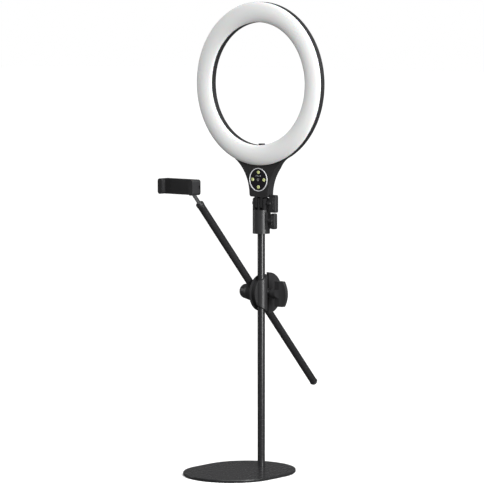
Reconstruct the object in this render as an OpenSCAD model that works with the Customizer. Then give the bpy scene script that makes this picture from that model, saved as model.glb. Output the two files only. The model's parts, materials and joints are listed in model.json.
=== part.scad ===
/* [Ring head] */
// Outside diameter of the light ring
ring_d = 300; // [280:1:310]
// Diameter of the hole through the ring
ring_hole_d = 225.4; // [215:0.2:232]
// Height of the ring's centre above the floor
ring_z = 716.4; // [712:0.2:722]
// Wall thickness of the plastic housing
wall = 2.2; // [1.8:0.1:2.6]

/* [Stand] */
// Diameter of the pole
pole_d = 14; // [14:0.1:14.1]
// Width of the base plate, side to side
base_w = 180.7; // [160:0.1:200]
// Length of the base plate, front to back
base_l = 222.4; // [205:0.1:240]
// Thickness of the steel base plate
base_t = 4.8; // [4:0.1:5.2]
// Distance from the pole back to the middle of the base plate
base_back = 61.4; // [50:0.1:65]

/* [Tilt head] */
// Height of the tilt axis above the floor
pivot_z = 496.2; // [495.8:0.1:496.6]
// Diameter of the collar on top of the pole
collar_d = 32; // [31:0.2:32.4]

/* [Side arm] */
// Height of the arm clamp's axis above the floor
clamp_z = 328.4; // [300:0.2:345]
// Distance from the pole back to the clamp's bolt
clamp_y = 14.5; // [14:0.1:15]
// Diameter of the clamp's round plates
disc_d = 77; // [74:1:78]
// Angle of the arm above the horizontal
arm_angle = 47.8; // [45:0.1:50]
// Length of the arm tube
arm_l = 478; // [460:1:490]
// Width between the phone holder's jaws
phone_gap = 69; // [66:0.5:72]

/* [Hidden] */

// Colours
black = [0.16, 0.16, 0.17];
steel = [0.75, 0.76, 0.78];
$fn = 64;
run = 0.05;      // radial clearance of a running fit
gap = 0.3;       // clearance between faces of two moving bodies
eps = 0.01;      // overlap that keeps cuts clean

// Base and pole
pad_t = 0.8;
base_top = pad_t + base_t;
base_r = base_w / 2;
base_run = base_l - base_w;
pole_r = pole_d / 2;
pole_wall = 1.2;
pole_in = pole_r - pole_wall;
collar_z0 = 440;
collar_z1 = 484;
collar_r = collar_d / 2;
pole_top = collar_z1 - 6;
m8_r = 4;

// Tilt joint
fin_pitch = 6.1;
fin_t = 4.2;
fin_r = 11;
fin_half_d = 7.8;
washer_t = fin_pitch - fin_t - 2 * 0.1;
m5_r = 2.5;
bolt_x0 = -2.5 * fin_pitch - 2.5;
tilt_hub_x = 17.2;
knob_x = 21.6;
knob_w = 16.5;
knob_h = 32.6;
paddle_t = 8;
collar_knob_z = 463.9;
ear_x = 17.6;
ear_w = 13;
collar_hub_x = ear_x + gap;
collar_knob_x = 25.8;
collar_knob_w = 10;
collar_knob_h = 29;

// Ring housing, measured front to back along y
ring_r = ring_d / 2;
hole_r = ring_hole_d / 2;
ring_front = -10.1;
ring_rim_back = 0.7;
ring_back = 8;
ring_mid = (ring_r + hole_r) / 2;
rim_t = 1.3;
diff_edge = 1.6;
diff_bulge = 6.5;
diff_wall = 1.8;
split_y = ring_rim_back - 4;
board_y = ring_back - 6.5;
chips_n = 60;

// Neck below the ring
neck_z0 = 507.9;
neck_front = -8;
neck_half = 22;
flare_r = 80;
flare_x = neck_half + flare_r;
flare_z = ring_z - sqrt(pow(ring_r + flare_r, 2) - pow(flare_x, 2));
flare_end = atan2(ring_z - flare_z, -flare_x) + 3;
neck_top = flare_z + flare_r * sin(flare_end);
neck_corner = 4.5;
slope_z0 = 562;
slope_angle = atan((ring_back - ring_rim_back + 0.3) / (neck_top - slope_z0));
panel_z = 539.8;
panel_r = 21.7;
bezel_w = 1.6;
face_y = neck_front + 1.2;
button_r = 3.1;
button_reach = 13.6;
button_rise = 0.9;
button_travel = 1.0;
button_y0 = neck_front - 0.3 - button_rise;
board_face_y = 0.4;
board_t = 1.6;
board_back_y = board_face_y + board_t;
board_z0 = 516;
board_z1 = 561;
switch_l = 2.4;
button_y1 = board_face_y - switch_l - button_travel - 0.15;
flange_y0 = neck_front + wall + 0.15;
inlet_z = 522;
inlet_r = 4.5;
screw_r = 1.5;
head_r = 2.8;
head_sunk = 1.4;
post_r = 3;
neck_screw_y = neck_front + wall + 1.5;

// Accessory boss at the bottom of the ring's hole
boss_r = 6;
boss_h = 8.6;
boss_z0 = ring_z - hole_r - 6.1;
boss_y = 1.6;
thread_r = 3.175;
thread_l = 8;

// Arm clamp, measured along x
liner_r = pole_r + 0.65;
liner_h = 30;
disc_r = disc_d / 2;
hub_x1 = -12.4;
disc_a_x = -9.7;
jaw_l_x0 = disc_a_x + gap;
seam_x = -0.6;
jaw_r_x1 = 5.4;
jaw_step_x = 1;
front_disc_r = disc_r - 5;
hub_disc_r = disc_r - 3.7;
jaw_l_disc_r = disc_r - 8.5;
m6_r = 3;
hub_r = 16.5;
arm_x = -25;
hub_x0 = arm_x - 12.5;
ribbed_x0 = -56.8;
stem_x1 = 17;
wing_x0 = 25;
wing_x1 = 49.8;
wing_h = 47;
wrap_r = 11.5;

// Arm and rod, measured along the arm from the clamp's axis
arm_r = 7;
arm_wall = 1.2;
arm_front = 228;
arm_back = arm_front - arm_l;
rod_r = 3.5;
ball_r = 7;
ball_at = 279;
rod_in = 95;

// Phone holder
ball_y = clamp_y - ball_at * cos(arm_angle);
ball_z = clamp_z + ball_at * sin(arm_angle);
holder_h = 28;
jaw_w = 6.8;
jaw_hook = 12.6;
lip_t = 2.6;
holder_y1 = ball_y - 13.5;
holder_t = 9.5;
holder_y0 = holder_y1 - holder_t;
jaw_pad_t = 0.9;
holder_x1 = arm_x + phone_gap / 2;
holder_x0 = arm_x - phone_gap / 2;
jaw_split = arm_x - 22;
notch_h = 6;
rod_pin_r = 1.6;
rod_pin_z = 8;
pin_y = (holder_y0 + holder_y1) / 2;

// Solid stadium plate made from exact rounds and a block
module stadium_plate(r, run_l, h) {
    for (s = [-1, 1]) translate([0, s * run_l / 2, 0]) cylinder(h, r, r);
    translate([-r, -run_l / 2, 0]) cube([2 * r, run_l, h]);
}

// Cylinder lying along x, from x0 to x1
module xcyl(x0, x1, r, y = 0, z = 0) {
    translate([x0, y, z]) rotate([0, 90, 0]) cylinder(x1 - x0, r, r);
}

// Cylinder lying along y, from y0 to y1
module ycyl(y0, y1, r, x = 0, z = 0) {
    translate([x, y0, z]) rotate([-90, 0, 0]) cylinder(y1 - y0, r, r);
}

// Block with rounded corners in the x-z plane, from y0 to y1
module rounded_xz(x0, x1, z0, z1, y0, y1, r) {
    translate([x0, y0, z0 + r]) cube([x1 - x0, y1 - y0, z1 - z0 - 2 * r]);
    translate([x0 + r, y0, z0]) cube([x1 - x0 - 2 * r, y1 - y0, z1 - z0]);
    for (x = [x0 + r, x1 - r], z = [z0 + r, z1 - r]) ycyl(y0, y1, r, x, z);
}

// Places its children along the arm: z runs up the arm from the clamp's axis
module on_arm() {
    translate([arm_x, clamp_y, clamp_z]) rotate([90 - arm_angle, 0, 0]) children();
}

// Ring profile spun about the ring's own axis; the profile is [radius, y]
module spin_ring(points) {
    translate([0, 0, ring_z]) rotate([-90, 0, 0]) rotate_extrude($fn = 180) polygon(points);
}

// ---- Base and pole ----

module base_pad() {
    color([0.1, 0.1, 0.1]) translate([0, -base_back, 0]) stadium_plate(base_r - 1.5, base_run, pad_t);
}

module base_plate() {
    color(black) difference() {
        translate([0, -base_back, pad_t]) stadium_plate(base_r, base_run, base_t);
        translate([0, 0, pad_t - eps]) cylinder(base_t + 2 * eps, m8_r + 0.2, m8_r + 0.2);
        translate([0, 0, pad_t - eps]) cylinder(2.6, 8.2, 8.2);
    }
}

module pole_screw() {
    color(steel) difference() {
        union() {
            translate([0, 0, pad_t + 0.1]) cylinder(2.4, 7.8, 7.8);
            translate([0, 0, pad_t + 2]) cylinder(18, m8_r, m8_r);
        }
        translate([0, 0, pad_t - eps]) cylinder(1.8, 3, 3, $fn = 6);
    }
}

module pole() {
    color(black) translate([0, 0, base_top]) difference() {
        cylinder(pole_top - base_top, pole_r, pole_r);
        translate([0, 0, -eps]) cylinder(pole_top, pole_in, pole_in);
    }
}

module pole_foot_insert() {
    color(steel) translate([0, 0, base_top]) difference() {
        cylinder(20, pole_in, pole_in);
        translate([0, 0, -eps]) cylinder(16, m8_r, m8_r);
    }
}

module pole_top_plug() {
    color(black) {
        translate([0, 0, pole_top - 12]) cylinder(12, pole_in, pole_in);
        translate([0, 0, pole_top - eps]) cylinder(1.5, pole_r, pole_r);
    }
}

// ---- Collar on top of the pole ----

// One fin of the tilt joint, centred on x
module fin(x, top) {
    z0 = top ? pivot_z : collar_z1 - eps;
    z1 = top ? neck_z0 + eps : pivot_z;
    intersection() {
        union() {
            xcyl(x - fin_t / 2, x + fin_t / 2, fin_r, 0, pivot_z);
            translate([x - fin_t / 2, -fin_r, z0]) cube([fin_t, 2 * fin_r, z1 - z0]);
        }
        translate([x - fin_t, -fin_half_d, pivot_z - 20]) cube([2 * fin_t, 2 * fin_half_d, 40]);
    }
}

module head_collar() {
    color(black) difference() {
        union() {
            translate([0, 0, collar_z0]) cylinder(collar_z1 - collar_z0, collar_r, collar_r);
            translate([0, -ear_w / 2, collar_knob_z - 15]) cube([ear_x, ear_w, 30]);
            for (i = [-1, 0, 1]) fin(i * 2 * fin_pitch, false);
        }
        translate([0, 0, collar_z0 - eps]) cylinder(pole_top + 2 - collar_z0, pole_r + run, pole_r + run);
        xcyl(-20, 20, m5_r + run, 0, pivot_z);
        xcyl(collar_r - 4, ear_x + 1, 4.5, 0, collar_knob_z);
        xcyl(pole_r - 2, ear_x + 1, m6_r + 0.2, 0, collar_knob_z);
    }
}

module collar_insert() {
    color([0.8, 0.65, 0.3]) difference() {
        xcyl(collar_r - 4, ear_x, 4.5, 0, collar_knob_z);
        xcyl(0, 30, m6_r + run, 0, collar_knob_z);
    }
}

// Paddle-shaped thumb knob on an x axis, with a hub that starts at hub_x
module paddle(hub_x, x, w, h, z) {
    rounded_xz(x, x + w, z - h / 2, z + h / 2, -paddle_t / 2, paddle_t / 2, 3);
    xcyl(hub_x, x + 4, 5.2, 0, z);
}

module collar_knob() {
    color(black) difference() {
        paddle(collar_hub_x, collar_knob_x, collar_knob_w, collar_knob_h, collar_knob_z);
        xcyl(10, collar_knob_x + 7, m6_r, 0, collar_knob_z);
    }
}

module collar_screw() {
    color(steel) xcyl(pole_r + 2.2, collar_knob_x + 7, m6_r, 0, collar_knob_z);
}

module pressure_pad() {
    color([0.9, 0.9, 0.88]) difference() {
        xcyl(pole_r - 1, pole_r + 2.1, m6_r + 0.2, 0, collar_knob_z);
        translate([0, 0, collar_knob_z - 10]) cylinder(20, pole_r + gap, pole_r + gap);
    }
}

module tilt_washers() {
    color(steel) for (i = [-2 : 1]) difference() {
        x = (i + 0.5) * fin_pitch;
        xcyl(x - washer_t / 2, x + washer_t / 2, 5.5, 0, pivot_z);
        xcyl(x - 5, x + 5, m5_r + run, 0, pivot_z);
    }
}

// ---- Ring head ----

// Right-hand edge of the neck outline: the bottom corner, then a fillet that meets the ring
function neck_edge(inset) = [
    for (a = [0 : 15 : 90]) [
        neck_half - inset - neck_corner + neck_corner * sin(a),
        neck_z0 + inset + neck_corner - neck_corner * cos(a)
    ],
    for (i = [0 : 16]) let (a = 178 + (flare_end - 178) * i / 16, r = flare_r + inset) [
        flare_x + r * cos(a),
        flare_z + r * sin(a)
    ],
    [ring_mid * sin(20), ring_z - ring_mid * cos(20)]
];

// Neck block between two y planes
module neck_block(y0, y1, inset) {
    edge = neck_edge(inset);
    mirrored = [for (i = [len(edge) - 1 : -1 : 0]) [-edge[i][0], edge[i][1]]];
    translate([0, y1, 0]) rotate([90, 0, 0]) linear_extrude(y1 - y0) polygon(concat(edge, mirrored));
}

// Round bar through the ring along its own axis
module ring_bar(y0, y1, r) {
    translate([0, y0, ring_z]) rotate([-90, 0, 0]) cylinder(y1 - y0, r, r, $fn = 180);
}

// Neck block whose back slopes forward to meet the ring's rim
module neck_rear(y0, y1, inset) {
    difference() {
        neck_block(y0, y1, inset);
        translate([-ring_r, ring_back - inset / cos(slope_angle), slope_z0]) rotate([slope_angle, 0, 0])
            translate([0, 0, -5]) cube([ring_d, 30, 40]);
    }
}

// Block under the neck that carries its two fins
module neck_floor() {
    translate([-neck_half + 3, neck_front + 2.7, neck_z0])
        cube([2 * neck_half - 6, ring_back - neck_front - 3, 4.6]);
}

// Slot that lets the wires pass from the neck into the ring
module wire_slot() {
    translate([-10, split_y - 1, ring_z - ring_r - 6]) cube([20, 5, 12]);
}

// Places its children at the six screws round the ring
module at_ring_screws() {
    for (a = [30 : 60 : 330]) translate([ring_mid * sin(a), 0, ring_z - ring_mid * cos(a)]) children();
}

// Places its children at the four screws of the neck
module at_neck_screws() {
    for (x = [-13, 13], z = [525, 555]) translate([x, 0, z]) children();
}

// Hole for a screw and its sunk head, from y0 out through the back
module screw_space(y0) {
    ycyl(y0, ring_back, screw_r);
    ycyl(ring_back - head_sunk, ring_back + 1, head_r);
}

// Self-tapping screw with a slotted head, from y0 to its sunk head
module screw(y0) {
    difference() {
        union() {
            ycyl(ring_back - head_sunk, ring_back - 0.2, head_r);
            ycyl(y0, ring_back - head_sunk + 0.2, screw_r);
        }
        translate([-head_r, ring_back - 0.7, -0.35]) cube([2 * head_r, 2, 0.7]);
    }
}

module ring_back_shell() {
    color(black) difference() {
        union() {
            difference() {
                spin_ring([
                    [ring_r, split_y], [ring_r, ring_rim_back], [ring_r - 4, ring_back - 2.6],
                    [ring_r - 10, ring_back], [hole_r + 10, ring_back], [hole_r + 4, ring_back - 2.6],
                    [hole_r, ring_rim_back], [hole_r, ring_front], [hole_r + rim_t, ring_front],
                    [hole_r + rim_t, ring_front + 4.5],
                    [hole_r + wall, ring_rim_back - 0.7], [hole_r + 5.4, ring_back - 4.2],
                    [hole_r + 11, ring_back - wall], [ring_r - 11, ring_back - wall],
                    [ring_r - 5.4, ring_back - 4.2], [ring_r - wall, ring_rim_back - 0.7],
                    [ring_r - wall, split_y]
                ]);
                wire_slot();
            }
            difference() {
                neck_rear(split_y, ring_back, 0);
                neck_rear(split_y - 1, ring_back - wall, wall);
                ring_bar(-20, 20, ring_r - 0.4);
                wire_slot();
            }
            neck_floor();
            for (i = [-1, 1]) fin(i * fin_pitch, true);
            at_ring_screws() ycyl(board_y + board_t, ring_back - 1, post_r);
            at_neck_screws() ycyl(board_back_y, ring_back - 1, post_r);
        }
        at_ring_screws() screw_space(board_y);
        at_neck_screws() screw_space(board_y);
        xcyl(-20, 20, m5_r + run, 0, pivot_z);
        ycyl(board_back_y, ring_back + 1, inlet_r, 0, inlet_z);
        translate([0, boss_y, boss_z0]) cylinder(boss_h + 10, boss_r, boss_r);
    }
}

module ring_front_shell() {
    color(black) difference() {
        union() {
            spin_ring([
                [ring_r - rim_t, ring_front], [ring_r, ring_front],
                [ring_r, split_y], [ring_r - rim_t, split_y]
            ]);
            difference() {
                neck_block(neck_front, split_y, 0);
                neck_block(neck_front + wall, split_y + 1, wall);
                ring_bar(-20, 20, ring_r - 0.4);
                neck_floor();
            }
            at_neck_screws() ycyl(neck_front + wall - eps, board_face_y, post_r);
        }
        at_neck_screws() ycyl(neck_screw_y, board_face_y + 1, screw_r);
        wire_slot();
        ycyl(neck_front - 1, face_y, panel_r, 0, panel_z);
        at_buttons() ycyl(-2, 6, button_r + gap);
    }
}

module diffuser() {
    full = (ring_r - hole_r) / 2 - 0.2;
    skirt = (ring_r - hole_r) / 2 - diff_edge;
    inner = skirt - diff_wall;
    color([0.96, 0.96, 0.95]) spin_ring(concat(
        [[ring_mid + skirt, ring_front + 4], [ring_mid + skirt, ring_front]],
        [for (a = [0 : 12 : 180]) [ring_mid + full * cos(a), ring_front - diff_bulge * sin(a)]],
        [[ring_mid - skirt, ring_front], [ring_mid - skirt, ring_front + 4]],
        [[ring_mid - inner, ring_front + 4]],
        [for (a = [180 : -12 : 0])
            [ring_mid + inner * cos(a), ring_front - (diff_bulge - diff_wall) * sin(a)]],
        [[ring_mid + inner, ring_front + 4]]
    ));
}

module led_board() {
    color("white") difference() {
        ring_bar(board_y, board_y + board_t, ring_r - 6.5);
        ring_bar(board_y - 1, board_y + 3, hole_r + 6.3);
        at_ring_screws() ycyl(board_y - 1, board_y + 3, screw_r);
    }
}

module led_chips() {
    color([0.95, 0.9, 0.55]) for (i = [0 : chips_n - 1]) {
        translate([0, board_y - 0.8, ring_z]) rotate([0, (i + 0.5) * 360 / chips_n, 0])
            translate([ring_mid - 1.75, 0, -1.4]) cube([3.5, 0.8, 2.8]);
    }
}

module control_board() {
    color([0.1, 0.35, 0.2]) difference() {
        translate([-18, board_face_y, board_z0]) cube([36, board_t, board_z1 - board_z0]);
        at_neck_screws() ycyl(board_face_y - 1, board_back_y + 1, screw_r);
    }
}

module led_wires() {
    wire_r = 0.8;
    wire_y = board_face_y - wire_r;
    wire_z = ring_z - ring_r + 9;
    wire_z0 = board_z1 - 5;
    color([0.7, 0.1, 0.1]) for (x = [-8, 8]) {
        translate([x, wire_y, wire_z0]) cylinder(wire_z - wire_z0, wire_r, wire_r);
        translate([x, wire_y, wire_z]) sphere(wire_r, $fn = 24);
        ycyl(wire_y, board_y, wire_r, x, wire_z);
    }
}

// Places its children at the five buttons: centre, top, bottom, left and right
module at_buttons() {
    for (p = [[0, 0], [0, 1], [0, -1], [-1, 0], [1, 0]]) {
        translate([p[0] * button_reach, face_y, panel_z + p[1] * button_reach]) children();
    }
}

module panel_bezel() {
    color([0.85, 0.86, 0.88]) difference() {
        ycyl(neck_front - 1.3, face_y, panel_r, 0, panel_z);
        ycyl(neck_front - 2, face_y + 1, panel_r - bezel_w, 0, panel_z);
    }
}

module panel_face() {
    color([0.04, 0.04, 0.05]) difference() {
        ycyl(neck_front - 0.3, face_y, panel_r - bezel_w, 0, panel_z);
        at_buttons() ycyl(-4, 4, button_r + gap);
        for (i = [-1.5 : 1.5]) ycyl(neck_front - 1, face_y - 0.6, 0.7, i * 3.6, panel_z + 7);
    }
}

// Push button at the panel offset p, with the flange that keeps it in
module button(p) {
    x = p[0] * button_reach;
    z = panel_z + p[1] * button_reach;
    ycyl(button_y0, button_y1, button_r, x, z);
    ycyl(flange_y0, button_y1, button_r + 1, x, z);
}

module button_brighter() {
    color([0.85, 0.9, 0.6]) button([0, 1]);
}

module button_dimmer() {
    color([0.85, 0.9, 0.6]) button([0, -1]);
}

module button_warmer() {
    color([0.85, 0.9, 0.5]) button([-1, 0]);
}

module button_cooler() {
    color([0.85, 0.9, 0.5]) button([1, 0]);
}

module button_power() {
    color([0.12, 0.12, 0.13]) button([0, 0]);
}

module tact_switches() {
    color(steel) at_buttons() ycyl(board_face_y - switch_l - face_y, board_face_y - face_y, 2.8);
}

module indicator_leds() {
    color([0.8, 0.9, 0.95]) for (i = [-1.5 : 1.5]) {
        ycyl(neck_front - 0.4, face_y - 0.6, 0.7, i * 3.6, panel_z + 7);
    }
}

module power_inlet() {
    color([0.05, 0.05, 0.05]) {
        difference() {
            ycyl(board_back_y, ring_back - 0.2, inlet_r, 0, inlet_z);
            ycyl(board_back_y + 1, ring_back + 1, 2.8, 0, inlet_z);
        }
        ycyl(board_back_y + 0.5, ring_back - 2, 1, 0, inlet_z);
    }
}

module shell_screws() {
    color(steel) {
        at_ring_screws() screw(board_y);
        at_neck_screws() screw(neck_screw_y);
    }
}

module accessory_boss() {
    color(black) translate([0, boss_y, boss_z0]) difference() {
        cylinder(boss_h, boss_r, boss_r);
        translate([0, 0, boss_h - thread_l]) cylinder(thread_l + 1, thread_r, thread_r);
    }
}

module tilt_bolt() {
    color(steel) {
        xcyl(bolt_x0 - 0.8, bolt_x0 + 3, 4.4, 0, pivot_z);
        xcyl(bolt_x0, knob_x + 9, m5_r, 0, pivot_z);
    }
}

module tilt_knob() {
    color(black) difference() {
        paddle(tilt_hub_x, knob_x, knob_w, knob_h, pivot_z);
        xcyl(10, knob_x + 9.5, m5_r + run, 0, pivot_z);
        xcyl(10, knob_x + 2, 4, 0, pivot_z);
    }
}

module tilt_knob_nut() {
    color([0.8, 0.65, 0.3]) difference() {
        xcyl(tilt_hub_x, knob_x + 2, 4, 0, pivot_z);
        xcyl(10, 30, m5_r + run, 0, pivot_z);
    }
}

// ---- Arm clamp ----

module clamp_liner() {
    color([0.3, 0.3, 0.3]) translate([0, 0, clamp_z - liner_h / 2]) difference() {
        cylinder(liner_h, liner_r, liner_r);
        translate([0, 0, -1]) cylinder(liner_h + 2, pole_r + run, pole_r + run);
    }
}

// Hole for the pole's liner, through the full height of the clamp
module liner_hole() {
    translate([0, 0, clamp_z - 60]) cylinder(120, liner_r + run, liner_r + run);
}

module clamp_jaw_left() {
    color(black) difference() {
        xcyl(jaw_l_x0, seam_x, jaw_l_disc_r, clamp_y, clamp_z, $fn = 128);
        liner_hole();
        xcyl(-20, 20, m6_r, clamp_y, clamp_z);
    }
}

module clamp_jaw_right() {
    x0 = seam_x + 0.2;
    color(black) difference() {
        union() {
            intersection() {
                xcyl(x0, wrap_r + 1, front_disc_r, clamp_y, clamp_z, $fn = 128);
                translate([0, 0, clamp_z - disc_r]) cylinder(disc_d, wrap_r, wrap_r);
            }
            xcyl(x0, jaw_step_x, front_disc_r, clamp_y, clamp_z, $fn = 128);
            intersection() {
                xcyl(x0, jaw_r_x1, disc_r, clamp_y, clamp_z, $fn = 128);
                translate([x0, clamp_y + 0.9, clamp_z - disc_r]) cube([20, disc_r, disc_d]);
            }
            xcyl(x0, 7.2, 8.5, clamp_y, clamp_z);
        }
        liner_hole();
        xcyl(-20, 20, m6_r, clamp_y, clamp_z);
    }
}

module clamp_bolt() {
    color(steel) {
        xcyl(arm_x + 7.8, hub_x1 - 1, 5, clamp_y, clamp_z);
        xcyl(hub_x1 - 2, wing_x0 + 14, m6_r, clamp_y, clamp_z);
    }
}

module clamp_washer() {
    color(steel) difference() {
        xcyl(7.2, 8.3, 5.4, clamp_y, clamp_z);
        xcyl(0, 20, m6_r, clamp_y, clamp_z);
    }
}

module arm_hub() {
    color(black) difference() {
        union() {
            xcyl(hub_x0, hub_x1 + eps, hub_r, clamp_y, clamp_z);
            xcyl(hub_x1, disc_a_x, hub_disc_r, clamp_y, clamp_z, $fn = 128);
        }
        on_arm() translate([0, 0, -60]) cylinder(120, arm_r + run, arm_r + run);
        xcyl(arm_x, hub_x1 - 0.7, 5 + gap, clamp_y, clamp_z);
        xcyl(arm_x, 0, m6_r + run, clamp_y, clamp_z);
        xcyl(hub_x0 - 1, arm_x, m6_r + run, clamp_y, clamp_z);
    }
}

module wing_knob() {
    color(black) difference() {
        union() {
            intersection() {
                translate([wing_x0, clamp_y - 6, clamp_z - wing_h / 2])
                    cube([wing_x1 - wing_x0, 12, wing_h]);
                ycyl(clamp_y - 7, clamp_y + 7, 40, wing_x1 - 40, clamp_z);
            }
            xcyl(8.7, stem_x1 + 1, 5.6, clamp_y, clamp_z);
            xcyl(stem_x1, wing_x0 + 10, 10, clamp_y, clamp_z);
        }
        for (s = [-1, 1]) {
            translate([wing_x1, clamp_y + s * 44, clamp_z - 40]) cylinder(80, 40.6, 40.6);
        }
        xcyl(0, wing_x0 + 15, m6_r + run, clamp_y, clamp_z);
        xcyl(0, 12, 4.6, clamp_y, clamp_z);
    }
}

module wing_knob_nut() {
    color([0.8, 0.65, 0.3]) difference() {
        xcyl(8.7, 12, 4.6, clamp_y, clamp_z);
        xcyl(0, 30, m6_r + run, clamp_y, clamp_z);
    }
}

module ribbed_knob() {
    knob_l = hub_x0 - gap - ribbed_x0;
    color(black) translate([hub_x0 - gap, clamp_y, clamp_z]) rotate([0, -90, 0]) difference() {
        union() {
            cylinder(knob_l - 3, hub_r, 13);
            translate([0, 0, knob_l - 3]) cylinder(3, 13, 11);
        }
        for (a = [0 : 30 : 330]) rotate([0, 0, a]) {
            translate([15.2, 0, 6]) rotate([0, -8, 0]) cylinder(40, 1.7, 1.7);
        }
        translate([0, 0, -1]) cylinder(14, m6_r, m6_r);
    }
}

module ribbed_knob_screw() {
    color(steel) xcyl(hub_x0 - gap - 13, arm_x - arm_r - gap, m6_r, clamp_y, clamp_z);
}

// ---- Arm and phone holder ----

module arm_tube() {
    color(black) on_arm() translate([0, 0, arm_back]) difference() {
        cylinder(arm_l, arm_r, arm_r);
        translate([0, 0, -1]) cylinder(arm_l + 2, arm_r - arm_wall, arm_r - arm_wall);
    }
}

module arm_tail_cap() {
    color(black) on_arm() translate([0, 0, arm_back]) {
        cylinder(12, arm_r - arm_wall, arm_r - arm_wall);
        intersection() {
            sphere(arm_r + 0.6);
            translate([0, 0, -10]) cylinder(10, 10, 10);
        }
    }
}

module arm_end_ring() {
    color(black) on_arm() difference() {
        union() {
            translate([0, 0, arm_front]) cylinder(6, arm_r + 0.5, arm_r + 0.5);
            translate([0, 0, arm_front - 7]) cylinder(8, arm_r - arm_wall, arm_r - arm_wall);
        }
        translate([0, 0, arm_front - 20]) cylinder(40, rod_r + run, rod_r + run);
    }
}

module arm_rod() {
    color([0.85, 0.86, 0.88]) on_arm() {
        translate([0, 0, arm_front - rod_in]) cylinder(ball_at - arm_front + rod_in, rod_r, rod_r);
        translate([0, 0, ball_at]) sphere(ball_r);
    }
}

module rod_guide() {
    color([0.9, 0.9, 0.88]) on_arm() translate([0, 0, arm_front - rod_in]) difference() {
        cylinder(12, arm_r - arm_wall - run, arm_r - arm_wall - run);
        translate([0, 0, -1]) cylinder(14, rod_r, rod_r);
    }
}

module ball_socket() {
    color(black) difference() {
        union() {
            on_arm() translate([0, 0, ball_at - 3]) cylinder(11, 9.6, 9.6);
            ycyl(holder_y1 + gap, ball_y - 5, 6, arm_x, ball_z);
            ycyl(holder_y1 - 5, holder_y1 + 1, 3.5, arm_x, ball_z);
        }
        on_arm() translate([0, 0, ball_at]) sphere(ball_r + gap);
    }
}

// One jaw of the phone holder, gripping towards +x from the face at x = 0
module jaw_shape() {
    y0 = holder_y0 - jaw_hook;
    z0 = ball_z - holder_h / 2;
    difference() {
        rounded_xz(-jaw_w - jaw_pad_t, 2.4, z0, z0 + holder_h, y0, holder_y1, 4.8);
        translate([-jaw_pad_t, y0 + lip_t, z0 - 1]) cube([10, holder_y0 - y0 - lip_t, holder_h + 2]);
        translate([0, holder_y0 - 1, z0 - 1]) cube([10, holder_t + 2, holder_h + 2]);
    }
}

module holder_body() {
    color(black) difference() {
        union() {
            translate([holder_x1, 0, 0]) mirror([1, 0, 0]) jaw_shape();
            translate([jaw_split, holder_y0, ball_z - holder_h / 2])
                cube([holder_x1 - jaw_split, holder_t, holder_h]);
        }
        ycyl(holder_y1 - 5.5, holder_y1 + 1, 3.5 + run, arm_x, ball_z);
        translate([holder_x1 + jaw_w + jaw_pad_t - 2, holder_y1 - 6, ball_z - notch_h / 2])
            cube([3, 4.5, notch_h]);
        for (s = [-1, 1]) {
            xcyl(jaw_split - 1, jaw_split + 42, rod_pin_r + run, pin_y, ball_z + s * rod_pin_z);
        }
    }
}

module fixed_jaw_pad() {
    color([0.1, 0.1, 0.1]) translate([holder_x1, holder_y0 - jaw_hook + lip_t + 0.2, ball_z - 11])
        cube([jaw_pad_t, jaw_hook - lip_t - 0.4, 22]);
}

module sliding_jaw() {
    color(black) difference() {
        union() {
            translate([holder_x0, 0, 0]) jaw_shape();
            translate([holder_x0 - 1, holder_y0, ball_z - holder_h / 2])
                cube([jaw_split - gap - holder_x0 + 1, holder_t, holder_h]);
        }
        for (s = [-1, 1]) {
            xcyl(holder_x0 - 4, jaw_split, rod_pin_r, pin_y, ball_z + s * rod_pin_z);
        }
    }
}

module jaw_rods() {
    color(steel) for (s = [-1, 1]) {
        xcyl(holder_x0 - 4, jaw_split + 38, rod_pin_r, pin_y, ball_z + s * rod_pin_z);
    }
}

module sliding_jaw_pad() {
    color([0.1, 0.1, 0.1])
        translate([holder_x0 - jaw_pad_t, holder_y0 - jaw_hook + lip_t + 0.2, ball_z - 11])
            cube([jaw_pad_t, jaw_hook - lip_t - 0.4, 22]);
}

base_pad();
base_plate();
pole_screw();
pole();
pole_foot_insert();
pole_top_plug();
head_collar();
collar_insert();
collar_knob();
collar_screw();
pressure_pad();
tilt_washers();
ring_back_shell();
ring_front_shell();
diffuser();
led_board();
led_chips();
control_board();
led_wires();
panel_bezel();
panel_face();
button_brighter();
button_dimmer();
button_warmer();
button_cooler();
button_power();
tact_switches();
indicator_leds();
power_inlet();
shell_screws();
accessory_boss();
tilt_bolt();
tilt_knob();
tilt_knob_nut();
clamp_liner();
clamp_jaw_left();
clamp_jaw_right();
clamp_bolt();
clamp_washer();
arm_hub();
wing_knob();
wing_knob_nut();
ribbed_knob();
ribbed_knob_screw();
arm_tube();
arm_tail_cap();
arm_end_ring();
arm_rod();
rod_guide();
ball_socket();
holder_body();
fixed_jaw_pad();
sliding_jaw();
jaw_rods();
sliding_jaw_pad();
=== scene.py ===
"""Visual model of a table-top ring light with a side arm and a phone holder.

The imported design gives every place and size. Each sub-assembly is a class that builds its
pieces over the design's nodes and dresses them; nodes whose shape is already right keep it
and only get a finish.
"""

import json
import logging
import math
from dataclasses import dataclass, field
from enum import Enum
from typing import Iterable, Sequence

import bmesh
import bpy
from mathutils import Matrix, Vector


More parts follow.
